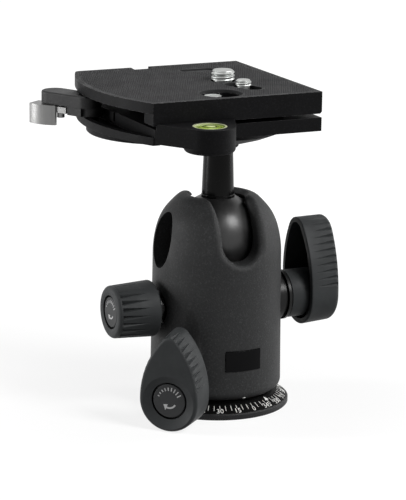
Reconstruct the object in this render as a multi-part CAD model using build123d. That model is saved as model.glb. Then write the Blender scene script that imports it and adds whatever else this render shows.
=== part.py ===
from build123d import *
import math
import os

# Tripod ball head with a panoramic base, three side knobs and a lever clamp.
# Millimetres. Origin: centre of the base underside, on the tripod thread axis.
# +Z up, -Y front (index dot, drop notch, bubble level), +X main lock knob.

# ---------------------------------------------------------------- fits
running_gap = 0.05      # radial play of turning and sliding fits
seat_gap = 0.03         # radial play of pieces that are pressed or screwed in
part_gap = 0.3          # play between moving pieces that only pass each other
grease_gap = 0.03       # film between the ball and what it turns in
knob_gap = 0.4          # between a knob and the collar behind it
beyond = 200.0          # reach of cuts that run right through

# ---------------------------------------------------------------- base
base_radius = 31.0
base_rim = 2.6
base_edge = 0.4
spigot_height = 2.0     # middle of the disc, which centres the scale ring
scale_rise = 3.2        # height of the conical scale above the rim
scale_inset = 0.6
scale_top_radius = 24.5
scale_bore = 20.0
thread_radius = 4.76    # 3/8-16 tripod thread, major radius
bush_radius = 8.0
bush_flange = 10.0
bush_flange_height = 1.5
bush_height = 11.8
bush_roof = 1.2
post_radius = 12.0
post_flange = 1.6
post_head_gap = 4.0     # top of the post below the top of the pivot block
post_groove = 1.0
ring_height = 1.0       # snap ring that holds the housing down
ring_drop = 2.5
ring_overlap = 1.4
washer_lift = 0.15
washer_top = 0.35       # top of the thrust washer above the housing's underside
base_screw_count = 3
base_screw_circle = 15.5
base_screw_radius = 1.5
base_screw_head = 2.8
base_screw_sink = 1.8
base_screw_head_height = 1.6
base_screw_slot = 0.7   # depth of the driver slot
base_screw_slot_width = 0.7
base_screw_bite = 1.2   # how far the screws reach into the post's flange

# ---------------------------------------------------------------- ball and housing
ball_height = 72.5
ball_radius = 17.8
seat_wall = 1.5         # from the ball to the housing's bore
housing_wall = 8.3
foot_gap = 1.2          # housing above the scale ring
foot_round = 3.6
shoulder_draft = 0.6    # how much the wall leans in up to the shoulder
shoulder_drop = 8.5     # shoulder below the ball centre
dome_rise = 17.4        # dome top above the ball centre
lip_radius = 13.4
lip_edge = 0.4
opening_radius = 11.3
opening_bevel = 1.8
notch_play = 0.95       # beside the neck in the drop notches
notch_edge = 2.4        # soft outer edge of the drop notches
window_half_width = 8.0
window_half_height = 11.7
window_drop = 0.7       # window centre below the ball centre
pan_angle = 222.5       # compass angle of the pan lock, from +X
trough_radius = 9.6
trough_rise = 7.0       # floor of the finger trough above the pan lock's axis
trough_depth = 2.6
trough_lean = 5.0
label_width = 15.8
label_height = 8.6
label_drop = 19.0       # middle of the label below the lock's axis
label_proud = 0.25
label_sheet = 0.6
label_play = 0.05

# ---------------------------------------------------------------- pieces inside the housing
block_lift = 0.4
block_gap = 1.0
post_bush_wall = 1.6
plug_thickness = 3.0
plug_gap = 1.0
plug_hole_radius = 1.8
plug_hole_circle = 9.0
carrier_skirt = 2.2     # carrier below the plungers
carrier_roof_wall = 2.8
carrier_gap = 1.7       # carrier below the ball
roof_gap = 1.0          # slot roof above the plungers
slot_gap = 1.2          # slot walls beside the plungers
seat_rim_drop = 8.5     # top of the ball seat below the ball centre
seat_bore = 6.0
liner_low = 5.5         # edges of the upper liner above the ball centre
liner_high = 14.0
liner_play = 0.4

# ---------------------------------------------------------------- side controls
collar_radius = 10.7
collar_proud = 3.4
friction_collar_radius = 7.4
friction_collar_proud = 1.9
pan_collar_radius = 7.0
pan_collar_proud = 2.4
collar_bore_gap = 0.3
collar_groove = 1.3
collar_edge = 0.3
spot_depth = 2.6        # flat seats of the collars below the housing wall
spindle_radius = 4.0
pan_spindle_radius = 3.0
spindle_flange = 1.6
spindle_flange_height = 2.4
spindle_flange_lift = 1.5
spindle_flange_room = 0.1   # knob in front of the flange
spindle_end_gap = 0.2
bush_wall = 2.4
bush_reach = 3.0        # how far the spindle bushes reach into the bore
plunger_radius = 6.0
plunger_face = 4.5
plunger_nose = 2.6      # length of the 45 degree nose
plunger_room = 1.3      # from the lock plunger to its spindle bush
plunger_floor = 8.0     # end of the blind thread in the plunger
plunger_travel = 1.0
ramp_gap = 0.25
spring_count = 3
spring_pitch = 0.9
spring_sheet = 0.4
spring_dish = 0.45
spring_bore = 2.2
spring_radius = 5.4
nut_height = 2.4
nut_inset = 0.3
nut_room = 1.4          # from the pressure nut to its spindle bush
spring_gap = 0.2        # from the last disc spring to the pressure nut
shoe_radius = 3.2
shoe_room = 0.6         # from the shoe to the pan bush
shoe_gap = 0.1

lock_back_radius = 13.7
lock_back_tip = 32.4
lock_back_tip_round = 7.75
lock_back_flank = 43.0
lock_front_radius = 12.8
lock_front_tip = 32.6
lock_front_tip_round = 9.8
lock_front_flank = 60.0
lock_gap = 11.0         # back rim of the handle from the housing wall
lock_depth = 13.8
lock_wall = 2.2
lock_web = 3.4
lock_hub = 10.2
lock_lean = 6.0         # resting angle of the handle, towards the back
lock_front_round = 2.2
lock_back_round = 0.5
lock_dish_radius = 10.6
lock_dish_depth = 1.7
lock_dish_drop = 0.6

friction_radius = 11.9
friction_end_radius = 10.95
friction_depth = 19.0
friction_front_round = 1.5
friction_back_round = 1.2
friction_dish_radius = 8.3
friction_dish_depth = 0.9
flute_count = 22
flute_width = 2.2
flute_depth = 1.3
flute_front = 1.7       # from the end face to the flutes
flute_back = 4.0

pan_rise = 6.0          # pan lock's axis above the housing's underside
pan_radius = 12.8
pan_front_tip = 26.9
pan_front_tip_round = 3.6
pan_back_tip = 28.4
pan_back_tip_round = 4.4
pan_flank = 38.0
pan_gap = 10.2
pan_depth = 13.4
pan_front_round = 1.3
pan_back_round = 0.8
pan_dish_radius = 11.2
pan_dish_depth = 2.4
pan_dish_drop = 0.7
pan_cap_drop = 0.9
pan_hub_inset = 0.8

grip_pitch = 3.0        # finger grooves along both flanks of the handles
grip_width = 2.1
grip_depth = 0.9
grip_front = 0.6        # from the front face to the grooves
lock_grip_back = 2.3
lock_grip_count = 12
pan_grip_back = 4.0
pan_grip_count = 9
groove_lift = 1.0       # how far groove cutters stand out of the surface

cap_radius = 7.1
friction_cap_radius = 6.4
cap_thickness = 2.2
cap_sink = 0.5
cap_groove = 0.7
cap_edge = 0.4

# ---------------------------------------------------------------- neck
neck_root_radius = 7.05
neck_top_radius = 6.05
neck_length = 23.4
neck_ledge = 0.5414     # flat on the ball around the neck
neck_collar = 0.8
neck_step = 0.25
stud_radius = 5.0
stud_length = 9.0
boss_overlap = 2.2      # how far the neck sits in the platform
platform_screw_radius = 3.2
platform_screw_head = 5.6
platform_screw_head_height = 2.9
platform_screw_length = 9.0
socket_radius = 2.9
socket_depth = 2.1

# ---------------------------------------------------------------- platform and clamp
plate_half = 40.0
plate_right = 27.0
plate_corner = -47.7
plate_bulge = 9.9
platform_inset = 0.5
bowl_depth = 11.6       # underside of the neck boss below the deck
boss_radius = 8.4
boss_height = 1.5
boss_edge = 0.5
bowl_radius = 31.5
bowl_steps = ((14.0, 3.1), (20.0, 4.9), (26.0, 7.3))    # radius, rise above the boss
bowl_overlap = 0.4
bowl_groove = 15.0
bowl_groove_width = 1.0
bowl_groove_depth = 4.6
deck_thickness = 5.6
side_bar_width = 7.0
side_bar_proud = 0.2
tray_drop = 0.7         # underside of the tray below the deck
tray_height = 3.2
tray_sheet = 1.3
tray_wall = 2.6
lip_drop = 3.1
lip_disc_radius = 31.0
lip_disc_x = -26.0
lip_disc_edge = 0.5
step_inset = 1.2        # left edge of the deck from the plate's corner
channel_sheet = 1.8
channel_right = 19.3
channel_left = -31.3
channel_stop = 0.5
dovetail_run = 2.2
dovetail_play = 0.1
flank_rise = 0.8        # the 45 degree dovetail flank starts here above the floor
jaw_half = 11.0
jaw_gap = 0.25          # play between the cam and the tail of the jaw

bubble_x = -27.9
bubble_reach = 10.2     # bubble in front of the plate's edge
ear_radius = 10.3
ear_rise = 2.3
ear_cup_drop = 2.4
ear_cup_round = 1.8
ear_cup_overlap = 2.0
ear_inset = 0.7
ear_root = 35.0
vial_radius = 6.0
vial_ring = 0.9
vial_depth = 4.6
vial_lift = 0.1
vial_dome = 0.5
vial_dome_radius = 20.3

# ---------------------------------------------------------------- clamp lever
lever_out = 5.9         # pivot outside the plate's corner
lever_inset = 28.0      # pivot in front of the plate's back edge
lever_angle = 118.2     # compass angle of the closed lever, from +X
lever_length = 17.6
lever_half = 5.7
lever_lift = 0.9
lever_thickness = 4.9
lever_edge = 0.8
lever_hub = 5.6
block_reach = 7.2       # thick root of the lever, measured from the pivot
cam_radius = 4.8
cam_throw = 1.4
lever_pin = 2.2
pin_head = 1.2
pin_head_sink = 0.15
pin_slot = 0.45
pin_slot_depth = 0.65
pin_boss = 4.2
pin_boss_gap = 0.1
spring_room = 4.0
spring_wire = 0.6
spring_turns = 3
catch_sheet = 2.5
catch_tab_rise = 0.4
catch_overhang = 1.5    # thumb tab below the tray
catch_half = 2.3
catch_pin_at = 12.6
catch_pin_radius = 1.2
catch_pin_side = 2.4
catch_pin_head = 0.4
catch_pin_head_height = 2.1
catch_pin_roof = 1.2
catch_tail = 4.6
catch_tab_start = 12.9
catch_tab_end = 25.6
catch_tab_side = 7.6
catch_skew = 7.0
catch_bulge_radius = 14.0
catch_tab_thick = 2.6
catch_width = 8.5

# ---------------------------------------------------------------- camera plate
plate_lift = 1.7        # plate above the deck
lever_room = 0.7        # flange above the lever
flange_thickness = 4.2
plate_corner_round = 3.0
block_left = -38.0
block_edge = 0.8
rail_width = 8.6
foot_half = 25.9
foot_overlap = 0.5
pad_inset = 1.7
pad_play = 0.1
pad_recess = 1.4
pad_thickness = 1.3
pad_slot_x = 1.5
pad_slot_y = 24.5
pad_slot_length = 9.5
pad_slot_width = 6.5
pad_slot_depth = 0.7
pad_slit_x = -0.4
pad_slit_y = 15.0
pad_slit_half = 1.6
pad_slit_width = 1.0
back_notch_left = -22.5
back_notch_right = -14.5
back_notch_reach = 4.5
back_notch_depth = 2.6
screw_play = 0.35
large_screw_radius = 4.76   # 3/8-16 camera screw
small_screw_radius = 3.175  # 1/4-20 camera screw
large_neck_radius = 3.9
small_neck_radius = 2.55
large_screw_x = 0.9
large_screw_y = -1.4
large_screw_rise = 4.4
small_screw_rise = 2.7
thread_lift = 0.5       # start of the thread above the plate
large_head_radius = 8.0
small_head_radius = 5.6
screw_head_lift = 1.2
screw_head_height = 3.0
screw_head_slot = 1.2
large_screw_tip = 0.9
small_screw_tip = 0.6
large_slot_width = 1.6
small_slot_width = 1.4
washer_thickness = 1.0
slot_x = 2.7
slot_y = -17.0
slot_angle = -69.5
slot_reach = 5.5
slot_play = 0.6
well_x = -12.8
well_inset = 11.7       # well of the stowed screw behind the plate's front edge
well_radius = 8.8
well_depth = 5.1
well_web = 0.6
stowed_x = -3.4         # place of the stowed screw in its well
stowed_y = 0.4
stowed_head = 3.4
stowed_sink = 0.8
stowed_head_height = 3.0

# ---------------------------------------------------------------- places that follow
scale_top = base_rim + scale_rise
base_top = base_rim + spigot_height
housing_bottom = scale_top + foot_gap
bore_radius = ball_radius + seat_wall
housing_radius = bore_radius + housing_wall
shoulder_height = ball_height - shoulder_drop
housing_top = ball_height + dome_rise
notch_half_width = neck_root_radius + notch_play

carrier_top = ball_height - ball_radius - carrier_gap
carrier_roof = carrier_top - carrier_roof_wall
control_height = carrier_roof - roof_gap - plunger_radius
carrier_bottom = control_height - plunger_radius - carrier_skirt
carrier_slot = plunger_radius + slot_gap
plug_top = carrier_bottom - plug_gap
plug_bottom = plug_top - plug_thickness
block_top = plug_bottom - block_gap
post_top = block_top - post_head_gap
seat_top = ball_height - seat_rim_drop
label_centre = control_height - label_drop
pan_height = housing_bottom + pan_rise
trough_floor = pan_height + trough_rise

bush_face = bore_radius - bush_reach
plunger_end = bush_face - plunger_room
nut_back = bush_face - nut_room - nut_height
friction_plunger_end = nut_back - spring_gap - spring_count * spring_pitch
shoe_end = bush_face - shoe_room

spot_face = housing_radius - spot_depth
collar_face = housing_radius + collar_proud
friction_collar_face = housing_radius + friction_collar_proud
pan_collar_face = housing_radius + pan_collar_proud
lock_back = housing_radius + lock_gap
lock_face = lock_back + lock_depth
friction_back = friction_collar_face + knob_gap
friction_face = friction_back + friction_depth
pan_back = housing_radius + pan_gap
pan_face = pan_back + pan_depth

neck_root = ball_height + math.sqrt(ball_radius ** 2 - (neck_root_radius + neck_ledge) ** 2)
neck_top = neck_root + neck_length
boss_bottom = neck_top - boss_overlap
deck_bottom = boss_bottom + bowl_depth
deck_top = deck_bottom + deck_thickness
tray_bottom = deck_bottom - tray_drop
tray_top = tray_bottom + tray_height
tray_floor = tray_bottom + tray_sheet
step_x = plate_corner + step_inset
channel_floor = deck_bottom + channel_sheet
channel_front = -foot_half - channel_stop
flank_low = channel_floor + flank_rise
bubble_y = -plate_half - bubble_reach
ear_top = deck_top + ear_rise
ear_left = plate_corner + ear_inset
ear_right = ear_left + ear_root

lever_x = plate_corner - lever_out
lever_y = plate_half - lever_inset
cam_bottom = tray_top + part_gap
lever_bottom = deck_top + lever_lift
lever_top = lever_bottom + lever_thickness
catch_bottom = cam_bottom + part_gap
catch_top = catch_bottom + catch_sheet
catch_tab_bottom = tray_bottom - catch_overhang

block_bottom = deck_top + plate_lift
flange_bottom = lever_top + lever_room
plate_top = flange_bottom + flange_thickness
foot_bottom = channel_floor + part_gap
screw_head_bottom = channel_floor + screw_head_lift
screw_head_top = screw_head_bottom + screw_head_height
thread_start = plate_top + thread_lift
well_y = -plate_half + well_inset
well_floor = plate_top - well_depth
stowed_top = plate_top - stowed_sink

UP = (Align.CENTER, Align.CENTER, Align.MIN)


# ---------------------------------------------------------------- helpers
def rod(radius, start, end):
    return Pos(0, 0, start) * Cylinder(radius, end - start, align=UP)


def tube(outer, inner, start, end):
    return rod(outer, start, end) - rod(inner, start, end)


def cone(start_radius, end_radius, start, end):
    return Pos(0, 0, start) * Cone(start_radius, end_radius, end - start, align=UP)


def block(x0, x1, y0, y1, z0, z1):
    size = Box(x1 - x0, y1 - y0, z1 - z0)
    return Pos((x0 + x1) / 2, (y0 + y1) / 2, (z0 + z1) / 2) * size


def turned(points):
    face = make_face(Polyline(*points, close=True))
    return revolve(Plane.XZ * face, Axis.Z)


def ring_places(count, radius, start=0.0):
    step = 2 * math.pi / count
    first = math.radians(start)
    return [Pos(radius * math.cos(first + step * i), radius * math.sin(first + step * i), 0)
            for i in range(count)]


def side_plane(angle, height):
    # local +Z points outwards from the vertical axis, local +Y points up
    turn = math.radians(angle)
    outward = Vector(math.cos(turn), math.sin(turn), 0)
    return Plane(origin=(0, 0, height), x_dir=Vector(0, 0, 1).cross(outward), z_dir=outward)


def coil(radius, wire, start, end, turns):
    pitch = (end - start - wire) / turns
    path = Pos(0, 0, start + wire / 2) * Helix(pitch, pitch * turns, radius)
    section = Plane(origin=path @ 0, z_dir=path % 0) * Circle(wire / 2)
    return sweep(section, path=path)


LOCK_SIDE = side_plane(0, control_height)
FRICTION_SIDE = side_plane(180, control_height)
PAN_SIDE = side_plane(pan_angle, pan_height)


# ---------------------------------------------------------------- base and pivot
def make_base_disc():
    disc = turned([
        (0, 0), (base_radius - base_edge, 0), (base_radius, base_edge),
        (base_radius, base_rim - base_edge), (base_radius - base_edge, base_rim), (0, base_rim),
    ])
    disc += rod(scale_bore - seat_gap, base_rim, base_top)
    disc -= rod(bush_flange + seat_gap, 0, bush_flange_height + 0.1)
    disc -= rod(bush_radius + seat_gap, 0, base_top)
    for place in ring_places(base_screw_count, base_screw_circle):
        disc -= place * rod(base_screw_radius + part_gap, 0, base_top)
        disc -= place * rod(base_screw_head + seat_gap, 0, base_screw_sink)
    return disc


def make_scale_ring():
    return turned([
        (scale_bore, base_rim), (base_radius - scale_inset, base_rim),
        (scale_top_radius, scale_top), (scale_bore, scale_top),
    ])


def make_pivot_post():
    flange = base_screw_circle + base_screw_head
    post = rod(flange, base_top, base_top + post_flange)
    post += rod(post_radius, base_top + post_flange, post_top)
    groove_low = post_top - ring_drop - 0.1
    post -= tube(post_radius, post_radius - post_groove, groove_low, groove_low + ring_height + 0.2)
    post -= rod(bush_radius + seat_gap, base_top, bush_height + 0.2)
    for place in ring_places(base_screw_count, base_screw_circle):
        post -= place * rod(base_screw_radius + seat_gap, base_top, base_top + post_flange)
    return post


def make_thread_bush():
    bush = rod(bush_flange, 0, bush_flange_height) + rod(bush_radius, bush_flange_height, bush_height)
    return bush - rod(thread_radius, 0, bush_height - bush_roof)


def make_base_screws():
    head_low = base_screw_sink - base_screw_head_height
    screw = rod(base_screw_head, head_low, base_screw_sink)
    screw += rod(base_screw_radius, base_screw_sink, base_top + base_screw_bite)
    half = base_screw_slot_width / 2
    screw -= block(-beyond, beyond, -half, half, head_low, head_low + base_screw_slot)
    places = ring_places(base_screw_count, base_screw_circle)
    return Compound(children=[place * screw for place in places])


def make_pivot_ring():
    low = post_top - ring_drop
    return tube(post_radius + ring_overlap, post_radius - post_groove + 0.1, low, low + ring_height)


def make_thrust_washer():
    low = base_top + post_flange + washer_lift
    return tube(bore_radius - part_gap, post_radius + part_gap, low, housing_bottom + washer_top)


# ---------------------------------------------------------------- housing
def housing_profile():
    foot = (housing_radius - foot_round, housing_bottom)
    foot_mid = (housing_radius - 0.29 * foot_round, housing_bottom + 0.29 * foot_round)
    foot_end = (housing_radius, housing_bottom + foot_round)
    shoulder = (housing_radius - shoulder_draft, shoulder_height)
    rim = (lip_radius, housing_top)
    rise = housing_top - shoulder_height
    reach = shoulder[0] - lip_radius
    knots = [
        shoulder,
        (shoulder[0] - 0.085 * reach, shoulder_height + 0.40 * rise),
        (shoulder[0] - 0.31 * reach, shoulder_height + 0.70 * rise),
        (shoulder[0] - 0.64 * reach, shoulder_height + 0.905 * rise),
        rim,
    ]
    edges = [
        Line((0, housing_bottom), foot),
        ThreePointArc(foot, foot_mid, foot_end),
        Line(foot_end, shoulder),
        Spline(*knots, tangents=((0, 1), (-1, 0.12))),
        Line(rim, (0, housing_top)),
        Line((0, housing_top), (0, housing_bottom)),
    ]
    return make_face(edges)


def drop_notches(grow):
    # one straight slot across the dome, front to back, round at the ball centre
    half = notch_half_width + grow
    round_end = Pos(0, 0, ball_height) * Rot(90, 0, 0) * Cylinder(half, 2 * beyond)
    return round_end + block(-half, half, -beyond, beyond, ball_height, beyond)


def side_windows(grow):
    window = Ellipse(window_half_width + grow, window_half_height + grow)
    start = Plane(origin=(-beyond, 0, ball_height - window_drop), x_dir=(0, 1, 0), z_dir=(1, 0, 0))
    return extrude(start * window, 2 * beyond)


def finger_trough():
    # a leaning round scoop above the pan lock, with a flat floor
    scoop = Rot(0, trough_lean, 0) * rod(trough_radius, 0, beyond)
    reach = housing_radius + trough_radius - trough_depth
    side = block(0, beyond, -beyond, beyond, trough_floor, housing_top)
    return Rot(0, 0, pan_angle) * (Pos(reach, 0, trough_floor) * scoop & side)


def make_housing():
    body = revolve(Plane.XZ * housing_profile(), Axis.Z)
    body -= rod(bore_radius, housing_bottom, ball_height)
    body -= Pos(0, 0, ball_height) * Sphere(bore_radius)
    body -= rod(opening_radius, ball_height, housing_top)
    body -= cone(opening_radius, lip_radius - lip_edge, housing_top - opening_bevel, housing_top)
    body -= drop_notches(0)
    notch_rim = body.edges().filter_by(
        lambda edge: edge.length > notch_half_width
        and edge.center().Z > ball_height - notch_half_width - 1
        and math.hypot(edge.center().X, edge.center().Y) > bore_radius + 0.4 * housing_wall
    )
    body = fillet(notch_rim, notch_edge)
    body -= side_windows(0)
    body -= finger_trough()
    for side, radius, hole in (
        (LOCK_SIDE, collar_radius, spindle_radius + bush_wall),
        (FRICTION_SIDE, friction_collar_radius, spindle_radius + bush_wall),
        (PAN_SIDE, pan_collar_radius, pan_spindle_radius + bush_wall),
    ):
        body -= side * rod(radius + seat_gap, spot_face, housing_radius + radius)
        body -= side * rod(hole + seat_gap, bush_face, spot_face)
    return body - label_sleeve(housing_radius - label_sheet + label_proud, housing_radius + 1, label_play)


def label_sleeve(inner, outer, grow):
    half = label_width / 2 + grow
    low = label_centre - label_height / 2 - grow
    high = label_centre + label_height / 2 + grow
    return tube(outer, inner, low, high) & block(-half, half, -beyond, 0, low, high)


def make_label_plate():
    return label_sleeve(housing_radius - label_sheet + label_proud, housing_radius + label_proud, 0)


def make_pivot_block():
    bore = post_radius + post_bush_wall + seat_gap
    body = tube(bore_radius - seat_gap, bore, housing_bottom + block_lift, block_top)
    body -= rod(post_radius + ring_overlap + part_gap, post_top - ring_drop - 0.5, block_top)
    body -= PAN_SIDE * rod(shoe_radius + running_gap, 0, bore_radius)
    pan_bore = pan_spindle_radius + bush_wall + seat_gap
    return body - PAN_SIDE * rod(pan_bore, bush_face, bore_radius)


def make_post_bush():
    outer = post_radius + post_bush_wall
    low = housing_bottom + block_lift + 0.2
    bush = tube(outer, post_radius + running_gap, low, post_top - ring_drop - 0.7)
    return bush - PAN_SIDE * rod(shoe_radius + running_gap, 0, outer + 1)


def make_bore_plug():
    plug = rod(bore_radius - seat_gap, plug_bottom, plug_top)
    for place in ring_places(2, plug_hole_circle):
        plug -= place * rod(plug_hole_radius, plug_bottom, plug_bottom + 2 * plug_thickness / 3)
    return plug


def make_upper_liner():
    shell = Pos(0, 0, ball_height) * (Sphere(bore_radius - seat_gap) - Sphere(ball_radius + grease_gap))
    band = shell & rod(bore_radius, ball_height + liner_low, ball_height + liner_high)
    band -= rod(opening_radius, ball_height, housing_top)
    return band - drop_notches(liner_play) - side_windows(liner_play)


def control_bush(side, radius):
    return side * tube(radius + bush_wall, radius + running_gap, bush_face + running_gap, spot_face)


def collar(side, radius, bore, face):
    # black seal with a groove around it where the spindle leaves the wall
    inner = radius - collar_groove
    points = [
        (bore, spot_face), (radius, spot_face), (radius, face - 3.4), (inner, face - 2.9),
        (inner, face - 1.9), (radius, face - 1.5), (radius, face - collar_edge),
        (radius - collar_edge, face), (bore, face),
    ]
    return side * turned(points)


# ---------------------------------------------------------------- ball clamping train
def make_ball_seat():
    ring = rod(bore_radius - running_gap, carrier_top + seat_gap, seat_top)
    ring -= Pos(0, 0, ball_height) * Sphere(ball_radius + grease_gap)
    return ring - rod(seat_bore, carrier_top, seat_top)


def make_seat_carrier():
    # a cylinder with a cross slot whose roof has a ramp above each plunger nose
    body = rod(bore_radius - running_gap - 0.02, carrier_bottom, carrier_top)
    ramp_low = control_height + plunger_radius - plunger_nose + ramp_gap
    ramp_in = plunger_face - 0.1
    ramp_out = ramp_in + carrier_roof - ramp_low
    for side in (1, -1):
        slot = make_face(Polyline(
            (side * ramp_in, 0), (side * ramp_in, ramp_low), (side * ramp_out, carrier_roof),
            (side * beyond, carrier_roof), (side * beyond, 0), close=True))
        body -= extrude(Plane.XZ * slot, carrier_slot, both=True)
    return body


def plunger(side, end):
    # the 45 degree nose pushes the carrier's ramp up as the plunger moves in
    nose = plunger_face + plunger_nose
    return side * turned([
        (0, plunger_face), (plunger_radius - plunger_nose, plunger_face), (plunger_radius, nose),
        (plunger_radius, end), (0, end),
    ])


def make_lock_plunger():
    # a nut that the captive spindle draws along the cross slot
    return plunger(LOCK_SIDE, plunger_end) - LOCK_SIDE * rod(
        spindle_radius + running_gap, plunger_floor, plunger_end)


def make_friction_springs():
    discs = []
    for index in range(spring_count):
        low = friction_plunger_end + 0.05 + spring_pitch * index
        high = low + spring_dish
        discs.append(FRICTION_SIDE * turned([
            (spring_bore, high), (spring_radius, low), (spring_radius, low + spring_sheet),
            (spring_bore, high + spring_sheet),
        ]))
    return Compound(children=discs)


def make_friction_nut():
    # pressure nut that the friction spindle draws along; it loads the disc springs
    outer = plunger_radius - nut_inset
    return FRICTION_SIDE * tube(outer, spindle_radius + running_gap, nut_back, nut_back + nut_height)


def spindle(side, radius, start, shoulder, end):
    # captive screw with a flange that drives the knob
    shaft = rod(radius, start, end)
    return side * (shaft + rod(radius + spindle_flange, shoulder, shoulder + spindle_flange_height))


def spindle_room(radius, start, hub_back, end):
    # bore of a knob for its spindle and for the flange that drives it
    flange_top = hub_back + spindle_flange_lift + spindle_flange_height + spindle_flange_room
    room = rod(radius + seat_gap, start, end)
    return room + rod(radius + spindle_flange + seat_gap, start, flange_top)


# ---------------------------------------------------------------- knobs
class Egg:
    # outline that is round below the axis and runs with bulging flanks into a small round tip
    def __init__(self, radius, tip, tip_round, flank_radius):
        self.radius = radius
        self.tip = tip
        self.tip_round = tip_round
        self.flank_radius = flank_radius
        low = flank_radius - radius
        high = flank_radius - tip_round
        centre = tip - tip_round
        self.flank_y = (low ** 2 - high ** 2 + centre ** 2) / (2 * centre)
        self.flank_x = -math.sqrt(low ** 2 - self.flank_y ** 2)

    def towards(self, height):
        # unit vector from the centre of the right flank to a point on the axis
        x = -self.flank_x
        y = height - self.flank_y
        length = math.hypot(x, y)
        return x / length, y / length

    def flank_point(self, direction):
        reach = self.flank_radius / math.hypot(*direction)
        return self.flank_x + reach * direction[0], self.flank_y + reach * direction[1]

    def face(self):
        low_way = self.towards(0)
        high_way = self.towards(self.tip - self.tip_round)
        low = self.flank_point(low_way)
        high = self.flank_point(high_way)
        middle = self.flank_point((low_way[0] + high_way[0], low_way[1] + high_way[1]))
        return make_face([
            ThreePointArc((-low[0], low[1]), (0, -self.radius), low),
            ThreePointArc(low, middle, high),
            ThreePointArc(high, (0, self.tip), (-high[0], high[1])),
            ThreePointArc((-high[0], high[1]), (-middle[0], middle[1]), (-low[0], low[1])),
        ])

    def place_along(self, walk):
        # a place on the right edge, reached from the top of the tip; local +X points outwards
        way = self.towards(self.tip - self.tip_round)
        join = math.degrees(math.atan2(way[1], way[0]))
        over_tip = math.radians(90 - join) * self.tip_round
        if walk < over_tip:
            angle = 90 - math.degrees(walk / self.tip_round)
            return Pos(0, self.tip - self.tip_round) * Rot(0, 0, angle) * Pos(self.tip_round, 0)
        angle = join - math.degrees((walk - over_tip) / self.flank_radius)
        return Pos(self.flank_x, self.flank_y) * Rot(0, 0, angle) * Pos(self.flank_radius, 0)

    def shrunk(self, wall):
        return Egg(self.radius - wall, self.tip - wall, self.tip_round - wall, self.flank_radius - wall)

    def mixed(self, other, share):
        # the outline part of the way from this one to the other
        mine = (self.radius, self.tip, self.tip_round, self.flank_radius)
        theirs = (other.radius, other.tip, other.tip_round, other.flank_radius)
        return Egg(*[a + share * (b - a) for a, b in zip(mine, theirs)])


def groove(near, far, width, depth, start, end):
    # V groove cutter along +Z that runs out at its start; +X of both places points outwards
    slope = width / 2 / depth

    def section(apex):
        half = slope * (apex + groove_lift)
        return make_face(Polyline((-apex, 0), (groove_lift, half), (groove_lift, -half), close=True))

    ends = [Pos(0, 0, start) * near * section(-0.02), Pos(0, 0, end) * far * section(depth)]
    return loft(ends, ruled=True)


class Handle:
    # the outer shape of a knob whose outline changes evenly from its back to its front
    def __init__(self, back, front, low, high):
        self.back = back
        self.front = front
        self.low = low
        self.high = high

    def solid(self):
        ends = [Pos(0, 0, self.low) * self.back.face(), Pos(0, 0, self.high) * self.front.face()]
        return loft(ends, ruled=True)

    def outline(self, height):
        return self.back.mixed(self.front, (height - self.low) / (self.high - self.low))

    def hollow(self, wall, web):
        inside = Handle(self.back.shrunk(wall), self.outline(self.high - web).shrunk(wall),
                        self.low, self.high - web)
        return inside.solid()

    def grips(self, count, back_margin):
        # finger grooves along both flanks, spaced evenly down from the tip
        start = self.low + back_margin
        end = self.high - grip_front
        cutters = []
        for row in range(count):
            walk = (row + 0.5) * grip_pitch
            near = self.outline(start).place_along(walk)
            far = self.outline(end).place_along(walk)
            right = groove(near, far, grip_width, grip_depth, start, end)
            cutters += [right, mirror(right, about=Plane.YZ)]
        return cutters


def dish(radius, depth, face, drop):
    sphere_radius = (radius * radius + depth * depth) / (2 * depth)
    return Pos(0, -drop, face - depth + sphere_radius) * Sphere(sphere_radius)


def cap_floor(face):
    return face - cap_thickness - cap_sink


def cap_pocket(radius, floor, face):
    return rod(radius + cap_groove, floor, face + 1)


def round_ends(body, front_round, back_round):
    body = fillet(body.faces().sort_by(Axis.Z)[-1].edges(), front_round)
    return fillet(body.faces().sort_by(Axis.Z)[0].edges(), back_round)


def make_lock_knob():
    # a hollow handle whose hub reaches back to the collar
    back = Egg(lock_back_radius, lock_back_tip, lock_back_tip_round, lock_back_flank)
    front = Egg(lock_front_radius, lock_front_tip, lock_front_tip_round, lock_front_flank)
    shell = Handle(back, front, lock_back, lock_face)
    body = round_ends(shell.solid(), lock_front_round, lock_back_round)
    for grip in shell.grips(lock_grip_count, lock_grip_back):
        body -= grip
    body -= shell.hollow(lock_wall, lock_web)
    hub_back = collar_face + knob_gap
    body += rod(lock_hub, hub_back, lock_face - lock_web + knob_gap)
    body -= rod(collar_radius - lock_wall, hub_back, hub_back + 1.0)
    floor = cap_floor(lock_face)
    body -= dish(lock_dish_radius, lock_dish_depth, lock_face, lock_dish_drop)
    body -= cap_pocket(cap_radius, floor, lock_face)
    body -= spindle_room(spindle_radius, collar_face, hub_back, floor)
    return LOCK_SIDE * Rot(0, 0, -lock_lean) * body


def make_pan_knob():
    # a solid handle that grows taller towards its back
    back = Egg(pan_radius, pan_back_tip, pan_back_tip_round, pan_flank)
    front = Egg(pan_radius, pan_front_tip, pan_front_tip_round, pan_flank)
    shell = Handle(back, front, pan_back, pan_face)
    body = round_ends(shell.solid(), pan_front_round, pan_back_round)
    for grip in shell.grips(pan_grip_count, pan_grip_back):
        body -= grip
    floor = cap_floor(pan_face)
    hub_back = pan_collar_face + knob_gap
    body += rod(pan_collar_radius - pan_hub_inset, hub_back, pan_back + 1)
    body -= dish(pan_dish_radius, pan_dish_depth, pan_face, pan_dish_drop)
    body -= cap_pocket(cap_radius, floor - pan_cap_drop, pan_face)
    body -= spindle_room(pan_spindle_radius, pan_collar_face, hub_back, floor)
    return PAN_SIDE * body


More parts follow.
